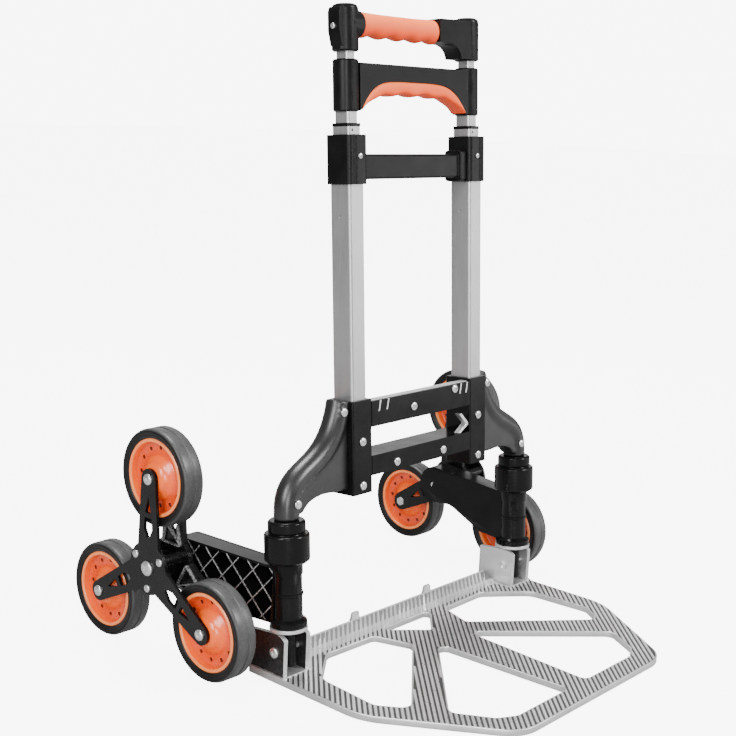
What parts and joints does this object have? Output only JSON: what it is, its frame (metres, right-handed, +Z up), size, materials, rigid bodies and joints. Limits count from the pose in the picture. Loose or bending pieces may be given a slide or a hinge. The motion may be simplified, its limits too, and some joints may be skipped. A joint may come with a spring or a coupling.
{
  "type": "stair-climbing hand truck",
  "caption": "Folding stair-climbing hand truck with a telescopic twin-tube frame, a fold-up ribbed toe plate and three-wheel stars on swing-in arms.",
  "frame": {"origin": "centre of the footprint box, on the floor that the toe plate and the lower wheels stand on", "axes": "+X across the truck, -Y towards the toe plate, +Y towards the wheels, +Z up; the tubes lean 4 degrees towards +Y"},
  "size_m": [0.5984, 0.5618, 0.7359],
  "materials": {
    "tube_aluminium": "satin extruded aluminium",
    "cast_aluminium": "bright ribbed cast aluminium",
    "black_plastic": "fine moulded texture",
    "gunmetal_paint": "dark metallic paint, semi-gloss",
    "black_steel": "black powder coat",
    "zinc_steel": "bright zinc plate",
    "orange_plastic": "glossy moulded plastic",
    "grip_rubber": "soft satin grip rubber",
    "tyre_rubber": "dark grey rubber, worn satin tread"
  },
  "bodies": {
    "frame": {"left_main_tube": "tube_aluminium", "right_main_tube": "tube_aluminium", "tube_guides": "black_plastic", "left_clamp_collar": "black_plastic", "right_clamp_collar": "black_plastic", "clamp_bridge": "black_plastic", "left_socket": "black_plastic", "right_socket": "black_plastic", "upper_beam": "black_plastic", "beam_backing": "cast_aluminium", "lower_beam": "black_plastic", "left_arch_arm": "gunmetal_paint", "right_arch_arm": "gunmetal_paint", "left_post": "black_plastic", "right_post": "black_plastic", "left_post_collar": "black_plastic", "right_post_collar": "black_plastic", "foot_washers": "cast_aluminium", "frame_screws": "zinc_steel", "stay_clip": "zinc_steel"},
    "left_lower_stage": {"left_lower_tube": "tube_aluminium", "left_tube_ring": "black_plastic"},
    "right_lower_stage": {"right_lower_tube": "tube_aluminium", "right_tube_ring": "black_plastic"},
    "middle_stage": {"middle_tubes": "tube_aluminium", "lower_handle": "black_plastic", "lower_grip": "grip_rubber"},
    "top_stage": {"top_tubes": "tube_aluminium", "upper_handle": "black_plastic", "upper_grip": "grip_rubber"},
    "button": {"release_button": "zinc_steel"},
    "toe": {"toe_plate": "cast_aluminium", "left_foot_bracket": "cast_aluminium", "right_foot_bracket": "cast_aluminium", "toe_hinge_bolts": "zinc_steel"},
    "left_arm": {"left_wheel_arm": "black_plastic", "left_star_axle": "zinc_steel"},
    "left_star": {"left_star_hub": "black_steel", "left_star_outer_plate": "black_steel", "left_star_inner_plate": "black_steel", "left_star_bolts": "zinc_steel"},
    "left_top_wheel": {"left_top_rim": "orange_plastic", "left_top_tyre": "tyre_rubber"},
    "left_front_wheel": {"left_front_rim": "orange_plastic", "left_front_tyre": "tyre_rubber"},
    "left_back_wheel": {"left_back_rim": "orange_plastic", "left_back_tyre": "tyre_rubber"},
    "right_arm": {"right_wheel_arm": "black_plastic", "right_star_axle": "zinc_steel"},
    "right_star": {"right_star_hub": "black_steel", "right_star_outer_plate": "black_steel", "right_star_inner_plate": "black_steel", "right_star_bolts": "zinc_steel"},
    "right_top_wheel": {"right_top_rim": "orange_plastic", "right_top_tyre": "tyre_rubber"},
    "right_front_wheel": {"right_front_rim": "orange_plastic", "right_front_tyre": "tyre_rubber"},
    "right_back_wheel": {"right_back_rim": "orange_plastic", "right_back_tyre": "tyre_rubber"}
  },
  "joints": [
    {"name": "lower_slide", "type": "slide", "parent": "frame", "child": "left_lower_stage", "axis": [0, 0.0698, 0.9976], "range_m": [0, 0.13]},
    {"name": "right_lower_slide", "type": "slide", "parent": "frame", "child": "right_lower_stage", "axis": [0, 0.0698, 0.9976], "range_m": [0, 0.13]},
    {"name": "middle_slide", "type": "slide", "parent": "left_lower_stage", "child": "middle_stage", "axis": [0, 0.0698, 0.9976], "range_m": [0, 0.12]},
    {"name": "top_slide", "type": "slide", "parent": "middle_stage", "child": "top_stage", "axis": [0, 0.0698, 0.9976], "range_m": [0, 0.12]},
    {"name": "button_press", "type": "slide", "parent": "top_stage", "child": "button", "axis": [1, 0, 0], "range_m": [0, 0.0025], "stiffness_N_per_m": 600},
    {"name": "toe_fold", "type": "hinge", "parent": "frame", "child": "toe", "pos_m": [0, -0.00843, 0.034], "axis": [-1, 0, 0], "range_deg": [0, 90]},
    {"name": "left_arm_swing", "type": "hinge", "parent": "frame", "child": "left_arm", "pos_m": [-0.2118, -0.00596, 0.09976], "axis": [0, -0.0698, -0.9976], "range_deg": [0, 51]},
    {"name": "left_star_spin", "type": "hinge", "parent": "left_arm", "child": "left_star", "pos_m": [-0.275, 0.13487, 0.108], "axis": [1, 0, 0], "continuous": true},
    {"name": "left_top_spin", "type": "hinge", "parent": "left_star", "child": "left_top_wheel", "pos_m": [-0.275, 0.13487, 0.212], "axis": [1, 0, 0], "continuous": true},
    {"name": "left_front_spin", "type": "hinge", "parent": "left_star", "child": "left_front_wheel", "pos_m": [-0.275, 0.0448, 0.056], "axis": [1, 0, 0], "continuous": true},
    {"name": "left_back_spin", "type": "hinge", "parent": "left_star", "child": "left_back_wheel", "pos_m": [-0.275, 0.22493, 0.056], "axis": [1, 0, 0], "continuous": true},
    {"name": "right_arm_swing", "type": "hinge", "parent": "frame", "child": "right_arm", "pos_m": [0.2118, -0.00596, 0.09976], "axis": [0, 0.0698, 0.9976], "range_deg": [0, 51]},
    {"name": "right_star_spin", "type": "hinge", "parent": "right_arm", "child": "right_star", "pos_m": [0.275, 0.13487, 0.108], "axis": [1, 0, 0], "continuous": true},
    {"name": "right_top_spin", "type": "hinge", "parent": "right_star", "child": "right_top_wheel", "pos_m": [0.275, 0.13487, 0.212], "axis": [1, 0, 0], "continuous": true},
    {"name": "right_front_spin", "type": "hinge", "parent": "right_star", "child": "right_front_wheel", "pos_m": [0.275, 0.0448, 0.056], "axis": [1, 0, 0], "continuous": true},
    {"name": "right_back_spin", "type": "hinge", "parent": "right_star", "child": "right_back_wheel", "pos_m": [0.275, 0.22493, 0.056], "axis": [1, 0, 0], "continuous": true}
  ],
  "couplings": [
    {"joint": "right_lower_slide", "follows": "lower_slide", "ratio": 1},
    {"joint": "left_arm_swing", "follows": "toe_fold", "ratio": 0.55556},
    {"joint": "right_arm_swing", "follows": "toe_fold", "ratio": 0.55556}
  ]
}
